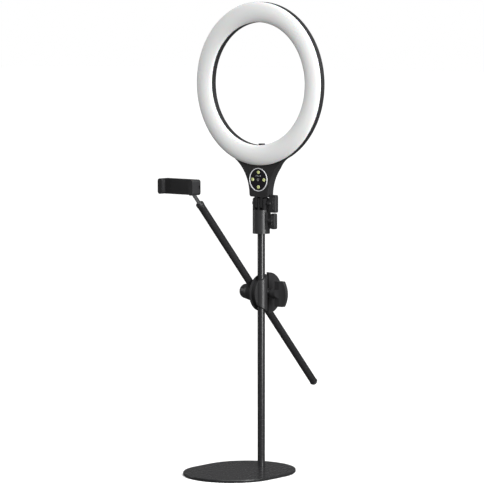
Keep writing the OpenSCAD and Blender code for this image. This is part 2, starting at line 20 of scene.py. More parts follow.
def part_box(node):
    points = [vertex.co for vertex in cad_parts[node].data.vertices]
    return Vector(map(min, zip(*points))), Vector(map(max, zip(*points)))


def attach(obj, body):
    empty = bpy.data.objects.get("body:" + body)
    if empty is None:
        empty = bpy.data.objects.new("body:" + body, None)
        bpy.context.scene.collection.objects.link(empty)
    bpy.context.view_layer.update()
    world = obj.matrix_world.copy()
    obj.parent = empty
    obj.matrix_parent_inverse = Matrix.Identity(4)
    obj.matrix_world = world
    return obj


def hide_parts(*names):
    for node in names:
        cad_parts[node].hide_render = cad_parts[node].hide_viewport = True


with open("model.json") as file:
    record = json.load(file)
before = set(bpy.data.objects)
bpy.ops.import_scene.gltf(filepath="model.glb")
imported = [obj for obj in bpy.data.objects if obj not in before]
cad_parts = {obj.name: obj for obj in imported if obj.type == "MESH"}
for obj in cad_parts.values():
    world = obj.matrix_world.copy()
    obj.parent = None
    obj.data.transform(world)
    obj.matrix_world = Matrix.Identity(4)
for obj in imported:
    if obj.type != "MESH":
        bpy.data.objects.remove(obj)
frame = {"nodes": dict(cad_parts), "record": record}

LOG = logging.getLogger("ring_light")
MM = 0.001
MERGE = 0.001 * MM
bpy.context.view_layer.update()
Point = tuple[float, float]


# ---------------------------------------------------------------- shader tools


class Value:
    """A shader socket that takes part in Python arithmetic.

    Each operator adds one Math node to the bench that made the socket.
    """

    def __init__(self, bench: "Bench", socket: bpy.types.NodeSocket) -> None:
        """Keeps the bench and the socket."""
        self.bench = bench
        self.socket = socket

    def _math(self, operation: str, *values: "Value | float") -> "Value":
        """Adds a Math node.

        Args:
            operation: The Math node's operation.
            values: Its inputs, in order.

        Returns:
            The node's result.
        """
        return self.bench.add("ShaderNodeMath", {"operation": operation}, dict(enumerate(values)))

    def __add__(self, other: "Value | float") -> "Value":
        """Sum."""
        return self._math("ADD", self, other)

    def __sub__(self, other: "Value | float") -> "Value":
        """Difference."""
        return self._math("SUBTRACT", self, other)

    def __mul__(self, other: "Value | float") -> "Value":
        """Product."""
        return self._math("MULTIPLY", self, other)

    def __rsub__(self, other: float) -> "Value":
        """Difference from a number."""
        return self._math("SUBTRACT", other, self)

    __radd__ = __add__
    __rmul__ = __mul__

    def band(self, centre: float, half: float, soft: float) -> "Value":
        """A mask that is 1 within half of centre and fades out over soft.

        Args:
            centre: Middle of the band.
            half: Half its width.
            soft: Width of the fade.

        Returns:
            The mask, from 0 to 1.
        """
        away = self._math("ABSOLUTE", self - centre)
        return self.bench.add(
            "ShaderNodeMapRange",
            {"interpolation_type": "SMOOTHSTEP"},
            {0: away, 1: half, 2: half + soft, 3: 1.0, 4: 0.0},
        )


class Bench:
    """A material's node tree, with one method that adds any node."""

    def __init__(self, name: str) -> None:
        """Makes the material and its shader.

        Args:
            name: The material's name.
        """
        self.material = bpy.data.materials.new(name)
        self.material.use_nodes = True
        self.tree = self.material.node_tree
        self.shader = self.tree.nodes["Principled BSDF"]

    def add(self, kind: str, settings: dict, inputs: dict, output: int | str = 0) -> Value:
        """Adds a node, sets it up, and fills its inputs.

        Args:
            kind: The node's type.
            settings: Its own settings, set first. "stops" fills a colour ramp.
            inputs: Values or sockets by input name or number.
            output: Which output to return.

        Returns:
            The chosen output.
        """
        node = self.tree.nodes.new(kind)
        for key, setting in settings.items():
            if key == "stops":
                self._fill_ramp(node.color_ramp, setting)
            else:
                setattr(node, key, setting)
        for key, given in inputs.items():
            self._feed(node.inputs[key], given)
        return Value(self, node.outputs[output])

    def _fill_ramp(self, ramp: bpy.types.ColorRamp, stops: Sequence[tuple]) -> None:
        """Sets a ramp's stops.

        Args:
            ramp: The ramp to fill.
            stops: Pairs of place and colour, in order.
        """
        while len(ramp.elements) < len(stops):
            ramp.elements.new(1.0)
        for element, (place, colour) in zip(ramp.elements, stops):
            element.position = place
            element.color = (*colour, 1.0)

    def _feed(self, socket: bpy.types.NodeSocket, given: object) -> None:
        """Links a socket, or sets its number.

        Args:
            socket: The input to fill.
            given: A Value, a number or a colour.
        """
        if isinstance(given, Value):
            self.tree.links.new(given.socket, socket)
        elif isinstance(given, tuple) and len(given) == 3 and socket.type == "RGBA":
            socket.default_value = (*given, 1.0)
        else:
            socket.default_value = given

    def place(self) -> Value:
        """The object coordinates, in metres."""
        return self.add("ShaderNodeTexCoord", {}, {}, "Object")

    def noise(self, size: float, detail: float = 3.0, stretch: tuple = (1.0, 1.0, 1.0)) -> Value:
        """Soft noise of a real size.

        Args:
            size: Size of one blotch, in metres.
            detail: Octaves of detail.
            stretch: Scale along each axis; a low number draws the pattern out.

        Returns:
            The noise, from 0 to 1.
        """
        spread = self.add("ShaderNodeMapping", {}, {"Vector": self.place(), "Scale": stretch})
        return self.add(
            "ShaderNodeTexNoise", {}, {"Vector": spread, "Scale": 1.0 / size, "Detail": detail}
        )

    def cells(self, size: float) -> Value:
        """Distance to the nearest of many scattered points.

        Args:
            size: Space between points, in metres.

        Returns:
            The distance, from 0 to about 1.
        """
        return self.add("ShaderNodeTexVoronoi", {}, {"Vector": self.place(), "Scale": 1.0 / size})

    def away_from(self, centre: tuple[float, float, float]) -> Value:
        """Distance from a centre, as seen from the front.

        Args:
            centre: The centre; its y counts for nothing.

        Returns:
            The distance, in metres.
        """
        flat = self.add("ShaderNodeVectorMath", {"operation": "MULTIPLY"}, {0: self.place(), 1: (1, 0, 1)})
        middle = (centre[0], 0.0, centre[2])
        return self.add("ShaderNodeVectorMath", {"operation": "DISTANCE"}, {0: flat, 1: middle}, "Value")

    def mix(self, factor: Value | float, first: object, second: object) -> Value:
        """Blends two colours.

        Args:
            factor: 0 for the first, 1 for the second.
            first: A colour or a socket.
            second: A colour or a socket.

        Returns:
            The blended colour.
        """
        node = self.tree.nodes.new("ShaderNodeMix")
        node.data_type = "RGBA"
        for key, given in (("Factor_Float", factor), ("A_Color", first), ("B_Color", second)):
            socket = next(s for s in node.inputs if s.identifier == key)
            self._feed(socket, given)
        return Value(self, next(s for s in node.outputs if s.identifier == "Result_Color"))

    def bump(self, height: Value, depth: float, strength: float = 1.0) -> None:
        """Feeds a bump into the shader's normal.

        Args:
            height: The relief, from 0 to 1.
            depth: Its depth, in metres.
            strength: How strongly it shows.
        """
        node = self.add(
            "ShaderNodeBump", {}, {"Height": height, "Distance": depth, "Strength": strength}, "Normal"
        )
        self.feed(Normal=node)

    def feed(self, **inputs: object) -> None:
        """Fills the shader's own inputs; an underscore stands for a space."""
        for key, given in inputs.items():
            self._feed(self.shader.inputs[key.replace("_", " ")], given)


# ---------------------------------------------------------------- finishes


@dataclass(frozen=True)
class MouldedPlastic:
    """Satin plastic with a fine spark-eroded texture, faint flow marks and rubbed patches."""

    name: str
    colour: tuple[float, float, float]
    roughness: float = 0.42
    grain: float = 0.45 * MM
    depth: float = 0.035 * MM
    coat: float = 0.0

    def make(self) -> bpy.types.Material:
        """Builds the material."""
        bench = Bench(self.name)
        flow = bench.noise(38 * MM, 2.0, (1.0, 1.0, 0.5))
        rubbed = bench.noise(7 * MM, 5.0)
        light = tuple(min(1.0, c * 1.22 + 0.003) for c in self.colour)
        dark = tuple(c * 0.84 for c in self.colour)
        bench.feed(
            Base_Color=bench.mix(flow * 0.75 + rubbed * 0.25, dark, light),
            Roughness=rubbed * 0.16 + flow * 0.07 + (self.roughness - 0.11),
            Coat_Weight=self.coat,
            Specular_IOR_Level=0.5,
        )
        grain = bench.noise(self.grain, 2.0)
        bench.bump(grain, self.depth)
        return bench.material


@dataclass(frozen=True)
class PowderCoat:
    """Black powder coat on steel, with orange peel and a few fine handling scratches."""

    name: str
    colour: tuple[float, float, float]
    roughness: float = 0.32

    def make(self) -> bpy.types.Material:
        """Builds the material."""
        bench = Bench(self.name)
        peel = bench.noise(1.5 * MM, 2.0)
        cloud = bench.noise(60 * MM, 3.0)
        hair = bench.noise(5 * MM, 6.0, (1.0, 0.08, 1.0)).band(0.5, 0.004, 0.008)
        light = tuple(c * 1.5 + 0.01 for c in self.colour)
        bench.feed(
            Base_Color=bench.mix(hair * 0.35 + cloud * 0.2, self.colour, light),
            Roughness=cloud * 0.12 + hair * 0.1 + (self.roughness - 0.06),
            Specular_IOR_Level=0.55,
        )
        bench.bump(peel, 0.003 * MM)
        return bench.material


@dataclass(frozen=True)
class TurnedMetal:
    """Bare or plated metal with fine machining lines across one axis."""

    name: str
    colour: tuple[float, float, float]
    roughness: float = 0.26
    lines: tuple[float, float, float] = (6.0, 1.0, 1.0)

    def make(self) -> bpy.types.Material:
        """Builds the material."""
        bench = Bench(self.name)
        lines = bench.noise(1.2 * MM, 3.0, self.lines)
        haze = bench.noise(9 * MM, 4.0)
        dull = tuple(c * 0.8 for c in self.colour)
        bench.feed(
            Base_Color=bench.mix(haze, self.colour, dull),
            Metallic=1.0,
            Roughness=lines * 0.14 + haze * 0.12 + (self.roughness - 0.13),
        )
        bench.bump(lines, 0.006 * MM)
        return bench.material


@dataclass(frozen=True)
class SoftRubber:
    """Dull rubber or foam whose skin is pitted with small cells."""

    name: str
    colour: tuple[float, float, float]
    cell: float = 0.9 * MM

    def make(self) -> bpy.types.Material:
        """Builds the material."""
        bench = Bench(self.name)
        pits = bench.cells(self.cell)
        dust = bench.noise(14 * MM, 4.0)
        dusty = tuple(c * 1.6 + 0.012 for c in self.colour)
        bench.feed(
            Base_Color=bench.mix(dust * 0.6, self.colour, dusty),
            Roughness=pits * 0.15 + 0.72,
            Specular_IOR_Level=0.3,
        )
        bench.bump(pits, 0.08 * MM, 0.8)
        return bench.material


@dataclass(frozen=True)
class OpalDiffuser:
    """Milky diffuser, painted lighter along the middle of its ring and darker towards its inner and outer
    edges: a painted glow along the crest and painted shade at the edges.
    """

    name: str
    colour: tuple[float, float, float]
    centre: tuple[float, float, float]
    radius: float

    def make(self) -> bpy.types.Material:
        """Builds the material."""
        bench = Bench(self.name)
        away = bench.away_from(self.centre)
        # Painted glow: the colour is lighter in a band along the ring's middle radius.
        painted_glow = away.band(self.radius, 3 * MM, 13 * MM)
        cloud = bench.noise(45 * MM, 2.0)
        # rim is the darker colour towards the inner and outer edges of the ring: painted shade.
        rim = tuple(c * 0.93 for c in self.colour)
        bench.feed(
            Base_Color=bench.mix(painted_glow * 0.7 + cloud * 0.3, rim, self.colour),
            Roughness=cloud * 0.08 + 0.3,
            Specular_IOR_Level=0.45,
            Subsurface_Weight=0.12,
            Subsurface_Scale=3 * MM,
        )
        bench.bump(bench.noise(0.5 * MM, 2.0), 0.012 * MM)
        return bench.material


@dataclass(frozen=True)
class KeyCap:
    """Translucent push key with a printed ring and a centre dot."""

    name: str
    colour: tuple[float, float, float]
    print_colour: tuple[float, float, float]
    centre: tuple[float, float, float]
    ring: float = 2.0 * MM
    dot: float = 0.55 * MM

    def make(self) -> bpy.types.Material:
        """Builds the material."""
        bench = Bench(self.name)
        away = bench.away_from(self.centre)
        ring = away.band(self.ring, 0.22 * MM, 0.12 * MM)
        dot = away.band(0.0, self.dot, 0.15 * MM)
        haze = bench.noise(2 * MM, 3.0)
        bench.feed(
            Base_Color=bench.mix(ring + dot, self.colour, self.print_colour),
            Roughness=haze * 0.15 + 0.22,
            Coat_Weight=0.2,
        )
        bench.bump(haze, 0.01 * MM)
        return bench.material


@dataclass(frozen=True)
class GlossPanel:
    """Black gloss panel with fingerprints in its sheen."""

    name: str
    colour: tuple[float, float, float]
    roughness: float = 0.07

    def make(self) -> bpy.types.Material:
        """Builds the material."""
        bench = Bench(self.name)
        smudge = bench.noise(6 * MM, 3.0)
        whorl = bench.noise(0.7 * MM, 1.0, (1.0, 1.0, 0.3))
        tint = tuple(c * 2.0 + 0.004 for c in self.colour)
        bench.feed(
            Base_Color=bench.mix(smudge * 0.5, self.colour, tint),
            Roughness=smudge * whorl * 0.3 + self.roughness,
            Coat_Weight=0.5,
        )
        bench.bump(smudge, 0.01 * MM, 0.4)
        return bench.material


@dataclass(frozen=True)
class BoardMask:
    """Circuit board with copper tracks showing under the solder mask."""

    name: str
    colour: tuple[float, float, float]

    def make(self) -> bpy.types.Material:
        """Builds the material."""
        bench = Bench(self.name)
        tracks = bench.noise(5 * MM, 0.0, (1.0, 1.0, 0.25)).band(0.5, 0.03, 0.01)
        over = tuple(min(1.0, c * 1.3 + 0.02) for c in self.colour)
        bench.feed(Base_Color=bench.mix(tracks, self.colour, over), Roughness=tracks * 0.1 + 0.35)
        bench.bump(tracks, 0.03 * MM)
        return bench.material


class Slot(Enum):
    """The record's material slots."""

    PLASTIC = "black_plastic"
    PAINT = "painted_steel"
    ZINC = "zinc_steel"
    CHROME = "chrome_steel"
    BRASS = "brass_insert"
    FOAM = "foam_rubber"
    RUBBER = "grip_rubber"
    OPAL = "opal"
    WHITE_BOARD = "board_white"
    GREEN_BOARD = "board_green"
    PHOSPHOR = "led_yellow"
    WIRE = "wire_red"
    TRIM = "silver_trim"
    PANEL = "panel_gloss"
    KEY = "key_green"
    DARK_KEY = "key_black"
    NYLON = "nylon"
    LENS = "indicator"


# ---------------------------------------------------------------- mesh tools


@dataclass(frozen=True)
class Space:
    """The room that a node of the design takes, at rest."""

    node: str

    @property
    def low(self) -> Vector:
        """Lowest corner."""
        return Vector(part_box(self.node)[0])

    @property
    def high(self) -> Vector:
        """Highest corner."""
        return Vector(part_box(self.node)[1])

    @property
    def centre(self) -> Vector:
        """Middle."""
        return (self.low + self.high) / 2

    @property
    def size(self) -> Vector:
        """Width, depth and height."""
        return self.high - self.low


def along_y(edge: bmesh.types.BMEdge) -> bool:
    """Whether a straight edge runs along y."""
    return abs((edge.verts[0].co - edge.verts[1].co).y) > MERGE


def towards(point: Vector, direction: Sequence[float]) -> Matrix:
    """Places local z along a direction.

    Args:
        point: Where the local origin goes.
        direction: The direction of local z.

    Returns:
        The placing matrix.
    """
    turn = Vector(direction).to_track_quat("Z", "Y").to_matrix().to_4x4()
    return Matrix.Translation(point) @ turn


class Form:
    """A mesh under construction, joined from shapes that operators make."""

    def __init__(self) -> None:
        """Starts with nothing."""
        self.mesh = bpy.data.meshes.new("form")

    def _keep(self, shape: bmesh.types.BMesh) -> None:
        """Joins a finished shape to the form.

        Args:
            shape: The shape, which is freed.
        """
        shape.from_mesh(self.mesh)
        shape.to_mesh(self.mesh)
        shape.free()

    @staticmethod
    def _soften(shape: bmesh.types.BMesh, width: float, angle: float = 24.0, segments: int = 3) -> None:
        """Rounds a shape's sharp edges.

        Args:
            shape: The shape.
            width: Width of the rounding, in metres.
            angle: Sharpest edge that is left alone, in degrees.
            segments: Steps in the rounding.
        """
        sharp = [e for e in shape.edges if e.is_manifold and e.calc_face_angle(0.0) > math.radians(angle)]
        if width > 0.0 and sharp:
            bmesh.ops.bevel(
                shape, geom=sharp, offset=width, segments=segments, profile=0.5,
                affect="EDGES", material=-1, clamp_overlap=True,
            )

    def lathe(
        self, outline: Sequence[Point], place: Matrix, soften: float = 0.0,
        steps: int = 96, closed: bool = False, angle: float = 24.0,
    ) -> "Form":
        """Spins an outline about local z.

        Args:
            outline: Pairs of radius and height, in metres.
            place: Where the local frame goes.
            soften: Width of the rounding on sharp edges.
            steps: Steps in the full turn.
            closed: Whether the last point joins the first.
            angle: Sharpest edge that is left alone, in degrees.

        Returns:
            The form itself.
        """
        shape = bmesh.new()
        points = [shape.verts.new((radius, 0.0, height)) for radius, height in outline]
        pairs = list(zip(points, points[1:])) + ([(points[-1], points[0])] if closed else [])
        edges = [shape.edges.new(pair) for pair in pairs]
        bmesh.ops.spin(
            shape, geom=points + edges, cent=(0, 0, 0), axis=(0, 0, 1),
            angle=math.tau, steps=steps, use_merge=True,
        )
        bmesh.ops.remove_doubles(shape, verts=shape.verts, dist=MERGE)
        bmesh.ops.recalc_face_normals(shape, faces=shape.faces)
        self._soften(shape, soften, angle)
        bmesh.ops.transform(shape, matrix=place, verts=shape.verts)
        self._keep(shape)
        return self

    def block(self, low: Vector, high: Vector, soften: float, corner: float = 0.0) -> "Form":
        """Adds a block whose four edges along y may be rounder than the rest.

        Args:
            low: Lowest corner.
            high: Highest corner.
            soften: Width of the rounding on all edges.
            corner: Width of the rounding on the edges along y.

        Returns:
            The form itself.
        """
        shape = bmesh.new()
        bmesh.ops.create_cube(shape, size=1.0)
        bmesh.ops.scale(shape, vec=high - low, verts=shape.verts)
        bmesh.ops.translate(shape, vec=(low + high) / 2, verts=shape.verts)
        if corner > 0.0:
            along = [e for e in shape.edges if along_y(e)]
            bmesh.ops.bevel(
                shape, geom=along, offset=corner, segments=8, profile=0.5, affect="EDGES", material=-1
            )
        self._soften(shape, soften)
        self._keep(shape)
        return self

    def stadium(self, radius: float, run: float, centre: Vector, height: float, soften: float) -> "Form":
        """Adds a plate with two straight sides and two round ends.

        Args:
            radius: Radius of the ends.
            run: Length of the straight sides, along y.
            centre: Middle of the plate's underside.
            height: The plate's thickness.
            soften: Width of the rounding on its rims.

        Returns:
            The form itself.
        """
        shape = bmesh.new()
        half_step = Matrix.Rotation(math.pi / 160, 4, "Z")
        bmesh.ops.create_circle(shape, cap_ends=True, segments=160, radius=radius, matrix=half_step)
        for side in (-1, 1):
            end = [v for v in shape.verts if v.co.y * side > 0]
            bmesh.ops.translate(shape, vec=(0, side * run / 2, 0), verts=end)
        raised = bmesh.ops.extrude_face_region(shape, geom=list(shape.faces))
        top = [g for g in raised["geom"] if isinstance(g, bmesh.types.BMVert)]
        bmesh.ops.translate(shape, vec=(0, 0, height), verts=top)
        bmesh.ops.recalc_face_normals(shape, faces=shape.faces)
        self._soften(shape, soften, 40.0, 4)
        bmesh.ops.translate(shape, vec=centre, verts=shape.verts)
        self._keep(shape)
        return self

    def copy_of(self, node: str, soften: float, angle: float = 28.0, segments: int = 2) -> "Form":
        """Adds a node's own shape with its edges rounded.

        Args:
            node: The design's node.
            soften: Width of the rounding.
            angle: Sharpest edge that is left alone, in degrees.
            segments: Steps in the rounding.

        Returns:
            The form itself.
        """
        shape = bmesh.new()
        shape.from_mesh(frame["nodes"][node].data)
        bmesh.ops.remove_doubles(shape, verts=shape.verts, dist=2e-6)
        bmesh.ops.dissolve_limit(
            shape, angle_limit=math.radians(0.4), verts=shape.verts, edges=shape.edges
        )
        self._soften(shape, soften, angle, segments)
        self._keep(shape)
        return self

    def finish(
        self, name: str, body: str, nodes: Iterable[str], material: bpy.types.Material, slot: Slot,
        smooth: float = 35.0,
    ) -> bpy.types.Object:
        """Makes the piece and ties it to the design.

        Args:
            name: The piece's name.
            body: The body it rides on.
            nodes: The nodes it stands for.
            material: Its finish.
            slot: The record's slot; not used.
            smooth: Sharpest angle that is shaded smooth, in degrees.

        Returns:
            The new object.
        """
        self.mesh.name = name
        self.mesh.materials.clear()
        self.mesh.materials.append(material)
        piece = bpy.data.objects.new(name, self.mesh)
        bpy.context.scene.collection.objects.link(piece)
        self.mesh.shade_smooth()
        self.mesh.set_sharp_from_angle(angle=math.radians(smooth))
        even = piece.modifiers.new("even_shading", "WEIGHTED_NORMAL")
        even.keep_sharp = True
        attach(piece, body)
        if nodes:
            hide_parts(*nodes)
        LOG.info("%s on %s, %d faces", name, body, len(self.mesh.polygons))
        return piece


# ---------------------------------------------------------------- finishes of this object


@dataclass
class Palette:
    """Every finish of the light, made once."""

    made: dict[Slot, bpy.types.Material] = field(default_factory=dict)

    def build(self) -> "Palette":
        """Makes the finishes that don't depend on where a piece is."""
        ring = Space("diffuser")
        recipes = {
            Slot.PLASTIC: MouldedPlastic("satin_black_plastic", (0.020, 0.020, 0.021), 0.36),
            Slot.PAINT: PowderCoat("black_powder_coat", (0.016, 0.016, 0.017), 0.24),
            Slot.ZINC: TurnedMetal("zinc_plate", (0.56, 0.57, 0.59)),
            Slot.CHROME: TurnedMetal("bright_chrome", (0.80, 0.81, 0.83), 0.14, (1.0, 5.0, 5.0)),
            Slot.BRASS: TurnedMetal("turned_brass", (0.72, 0.53, 0.24), 0.3),
            Slot.FOAM: SoftRubber("black_foam", (0.018, 0.018, 0.019), 0.7 * MM),
            Slot.RUBBER: SoftRubber("grip_rubber", (0.022, 0.022, 0.023), 1.1 * MM),
            # The diffuser's finish is painted lighter along a 131 mm radius and darker towards its edges:
            # painted glow and painted shade.
            Slot.OPAL: OpalDiffuser("opal_diffuser", (0.87, 0.87, 0.865), tuple(ring.centre), 131 * MM),
            Slot.WHITE_BOARD: BoardMask("white_board", (0.78, 0.78, 0.76)),
            Slot.GREEN_BOARD: BoardMask("green_board", (0.02, 0.12, 0.05)),
            Slot.PHOSPHOR: MouldedPlastic("led_phosphor", (0.85, 0.72, 0.22), 0.3),
            Slot.WIRE: MouldedPlastic("wire_insulation", (0.45, 0.02, 0.02), 0.35),
            Slot.TRIM: MouldedPlastic("silver_trim", (0.66, 0.67, 0.69), 0.24, 0.3 * MM, 0.01 * MM, 0.3),
            Slot.PANEL: GlossPanel("gloss_panel", (0.006, 0.005, 0.008)),
            Slot.NYLON: MouldedPlastic("natural_nylon", (0.70, 0.69, 0.64), 0.5),
            Slot.LENS: MouldedPlastic("clear_lens", (0.70, 0.74, 0.76), 0.18, 0.5 * MM, 0.0, 0.5),
        }
        self.made = {slot: recipe.make() for slot, recipe in recipes.items()}
        return self

    def __getitem__(self, slot: Slot) -> bpy.types.Material:
        """The finish of a slot."""
        return self.made[slot]

    def dress_nodes(self) -> None:
        """Gives each node that keeps its own shape the finish of its slot."""
        for part in frame["record"]["subparts"]:
            slot = Slot(part["material_slot"])
            if slot in self.made:
                mesh = frame["nodes"][part["node"]].data
                for index in range(max(1, len(mesh.materials))):
                    if index < len(mesh.materials):
                        mesh.materials[index] = self.made[slot]
                    else:
                        mesh.materials.append(self.made[slot])


# ---------------------------------------------------------------- sub-assemblies


@dataclass
class Stand:
    """Base plate and pole."""

    palette: Palette
    rim: float = 1.3 * MM
    pole_wall: float = 1.2 * MM

    def build(self) -> None:
        """Builds the plate and the pole."""
        plate = Space("base_plate")
        radius = plate.size.x / 2
        foot = Vector((plate.centre.x, plate.centre.y, plate.low.z))
        form = Form().stadium(radius, plate.size.y - 2 * radius, foot, plate.size.z, self.rim)
        form.finish("base_plate_body", "stand", ["base_plate"], self.palette[Slot.PAINT], Slot.PAINT)
        pole = Space("pole")
        outer = pole.size.x / 2
        inner = outer - self.pole_wall
        tube = [(inner, 0.0), (outer, 0.0), (outer, pole.size.z), (inner, pole.size.z)]
        at = Matrix.Translation((0, 0, pole.low.z))
        form = Form().lathe(tube, at, 0.3 * MM, closed=True)
        form.finish("pole_tube", "stand", ["pole"], self.palette[Slot.PAINT], Slot.PAINT)


@dataclass
class Knob:
    """A paddle knob on an x axis, with a hub and a ribbed grip on both faces."""

    palette: Palette
    node: str
    body: str
    hub_length: float
    hub_radius: float = 5.2 * MM
    thickness: float = 8.0 * MM
    bore: float = 3.0 * MM
    overlap: float = 4.0 * MM
    rib_pitch: float = 2.6 * MM
    rib_half: float = 0.55 * MM
    rib_proud: float = 0.5 * MM
    rib_inset: float = 5.2 * MM
    rib_end: float = 5.0 * MM

    def build(self) -> None:
        """Builds the knob."""
        space = Space(self.node)
        middle = space.centre
        low = Vector((space.low.x + self.hub_length, middle.y - self.thickness / 2, space.low.z))
        high = Vector((space.high.x, middle.y + self.thickness / 2, space.high.z))
        form = Form().block(low, high, 0.9 * MM, 3.0 * MM)
        for side in (-1, 1):
            self._add_ribs(form, low, high, side)
        top = self.hub_length + self.overlap
        hub = [(self.bore, 0.0), (self.hub_radius, 0.0), (self.hub_radius, top), (self.bore, top)]
        start = Vector((space.low.x, middle.y, middle.z))
        form.lathe(hub, towards(start, (1, 0, 0)), 0.5 * MM, 64, True)
        form.finish(
            self.node + "_body", self.body, [self.node], self.palette[Slot.PLASTIC], Slot.PLASTIC
        )

    def _add_ribs(self, form: Form, low: Vector, high: Vector, side: int) -> None:
        """Adds the grip ribs of one face.

        Args:
            form: The knob under construction.
            low: Lowest corner of the paddle.
            high: Highest corner of the paddle.
            side: -1 for the front face, 1 for the back.
        """
        face = high.y if side > 0 else low.y
        for index in (-1, 0, 1):
            x = high.x - self.rib_inset + index * self.rib_pitch
            rib_low = Vector((x - self.rib_half, face - self.rib_proud, low.z + self.rib_end))
            rib_high = Vector((x + self.rib_half, face + self.rib_proud, high.z - self.rib_end))
            form.block(rib_low, rib_high, 0.3 * MM)


@dataclass
class Head:
    """The ring, its neck and its control panel."""

    palette: Palette
    diffuser_wall: float = 1.8 * MM
    diffuser_bulge: float = 6.5 * MM
    skirt: float = 4.0 * MM
    lip: float = 1.4 * MM
    bezel: float = 1.6 * MM
    key_flange: float = 1.0 * MM
    key_edge: float = 0.35 * MM
    key_dish: float = 0.2 * MM
    thread_radius: float = 3.175 * MM
    thread_depth: float = 8.0 * MM
    thread_turns: int = 9
    thread_relief: float = 0.4 * MM
    mouth: float = 0.5 * MM

    def build(self) -> None:
        """Builds the housing, the diffuser, the panel, the keys, the boss and the screws."""
        plastic = self.palette[Slot.PLASTIC]
        Form().copy_of("ring_back_shell", 0.7 * MM).finish(
            "ring_back_housing", "head", ["ring_back_shell"], plastic, Slot.PLASTIC
        )
        Form().copy_of("ring_front_shell", 0.6 * MM).finish(
            "ring_front_housing", "head", ["ring_front_shell"], plastic, Slot.PLASTIC
        )
        self._diffuser()
        self._panel()
        self._boss()
        Form().copy_of("shell_screws", 0.25 * MM).finish(
            "shell_screw_set", "head", ["shell_screws"], self.palette[Slot.ZINC], Slot.ZINC
        )

    def _diffuser(self) -> None:
        """Builds the milky ring: a soft half oval whose lip covers the rim, on a short skirt."""
        space = Space("diffuser")
        outer = space.size.x / 2
        inner = self._inner_radius()
        middle = (outer + inner) / 2
        half = (outer - inner) / 2
        rim = space.high.y - self.skirt

        def oval(width: float, bulge: float, angles: Iterable[int]) -> list[Point]:
            """Points of a half oval.

            Args:
                width: Half its width.
                bulge: Its height.
                angles: Angles to place points at, in degrees.

            Returns:
                Pairs of radius and height.
            """
            return [
                (middle + width * math.cos(math.radians(a)), bulge * math.sin(math.radians(a)))
                for a in angles
            ]

        inset = half - self.lip
        thin = inset - self.diffuser_wall
        outline = [(middle + inset, -self.skirt), (middle + inset, 0.0)]
        outline += oval(half, self.diffuser_bulge, range(0, 181, 6))
        outline += [(middle - inset, 0.0), (middle - inset, -self.skirt), (middle - thin, -self.skirt)]
        outline += oval(thin, self.diffuser_bulge - self.diffuser_wall, range(180, -1, -6))
        outline += [(middle + thin, -self.skirt)]
        at = towards(Vector((space.centre.x, rim, space.centre.z)), (0, -1, 0))
        form = Form().lathe(outline, at, steps=192, closed=True)
        form.finish("diffuser_ring", "head", ["diffuser"], self.palette[Slot.OPAL], Slot.OPAL, 50.0)

    def _inner_radius(self) -> float:
        """Radius of the diffuser's inner edge, measured on its own mesh."""
        centre = Space("diffuser").centre
        mesh = frame["nodes"]["diffuser"].data
        return min(math.hypot(v.co.x - centre.x, v.co.z - centre.z) for v in mesh.vertices)

    def _panel(self) -> None:
        """Builds the bezel, the black panel and the five keys."""
        bezel = Space("panel_bezel")
        radius = bezel.size.x / 2
        depth = bezel.size.y
        inner = radius - self.bezel
        band = [(inner, 0.0), (radius, 0.0), (radius, depth), (inner, depth)]
        at = towards(Vector((bezel.centre.x, bezel.high.y, bezel.centre.z)), (0, -1, 0))
        Form().lathe(band, at, 0.5 * MM, 128, True).finish(
            "panel_trim_ring", "head", ["panel_bezel"], self.palette[Slot.TRIM], Slot.TRIM
        )
        Form().copy_of("panel_face", 0.12 * MM).finish(
            "panel_glass", "head", ["panel_face"], self.palette[Slot.PANEL], Slot.PANEL
        )
        for name in ("brighter", "dimmer", "warmer", "cooler", "power"):
            self._key(name)

    def _key(self, name: str) -> None:
        """Builds one push key with a dished top.

        Args:
            name: What the key does.
        """
        node = "button_" + name
        space = Space(node)
        tall = space.size.y
        flange = space.size.x / 2
        radius = flange - self.key_flange
        outline = [
            (0.0, 0.0), (flange, 0.0), (flange, self.key_flange), (radius, self.key_flange),
            (radius, tall - self.key_edge), (radius - self.key_edge, tall), (radius * 0.72, tall),
            (radius * 0.35, tall - self.key_dish * 0.9), (0.0, tall - self.key_dish * 1.1),
        ]
        dark = name == "power"
        slot = Slot.DARK_KEY if dark else Slot.KEY
        base = (0.008, 0.008, 0.010) if dark else (0.70, 0.76, 0.36)
        ink = (0.50, 0.50, 0.48) if dark else (0.36, 0.41, 0.10)
        cap = KeyCap(node + "_finish", base, ink, tuple(space.centre), dot=0.0 if dark else 0.6 * MM)
        at = towards(Vector((space.centre.x, space.high.y, space.centre.z)), (0, -1, 0))
        Form().lathe(outline, at, 0.12 * MM, 48).finish(
            "key_" + name + "_cap", "key_" + name, [node], cap.make(), slot, 45.0
        )

    def _boss(self) -> None:
        """Builds the threaded boss inside the ring."""
        space = Space("accessory_boss")
        radius, tall, thread = space.size.x / 2, space.size.z, self.thread_radius
        bottom = tall - self.thread_depth
        pitch = self.thread_depth / self.thread_turns
        outline = [(0.0, 0.0), (radius, 0.0), (radius, tall), (thread + self.mouth, tall)]
        for turn in range(self.thread_turns):
            top = tall - turn * pitch
            outline += [(thread, top - pitch * 0.35), (thread + self.thread_relief, top - pitch * 0.8)]
        outline += [(thread, bottom), (0.0, bottom)]
        at = Matrix.Translation((space.centre.x, space.centre.y, space.low.z))
        Form().lathe(outline, at, steps=64).finish(
            "accessory_thread_boss", "head", ["accessory_boss"], self.palette[Slot.PLASTIC], Slot.PLASTIC
        )


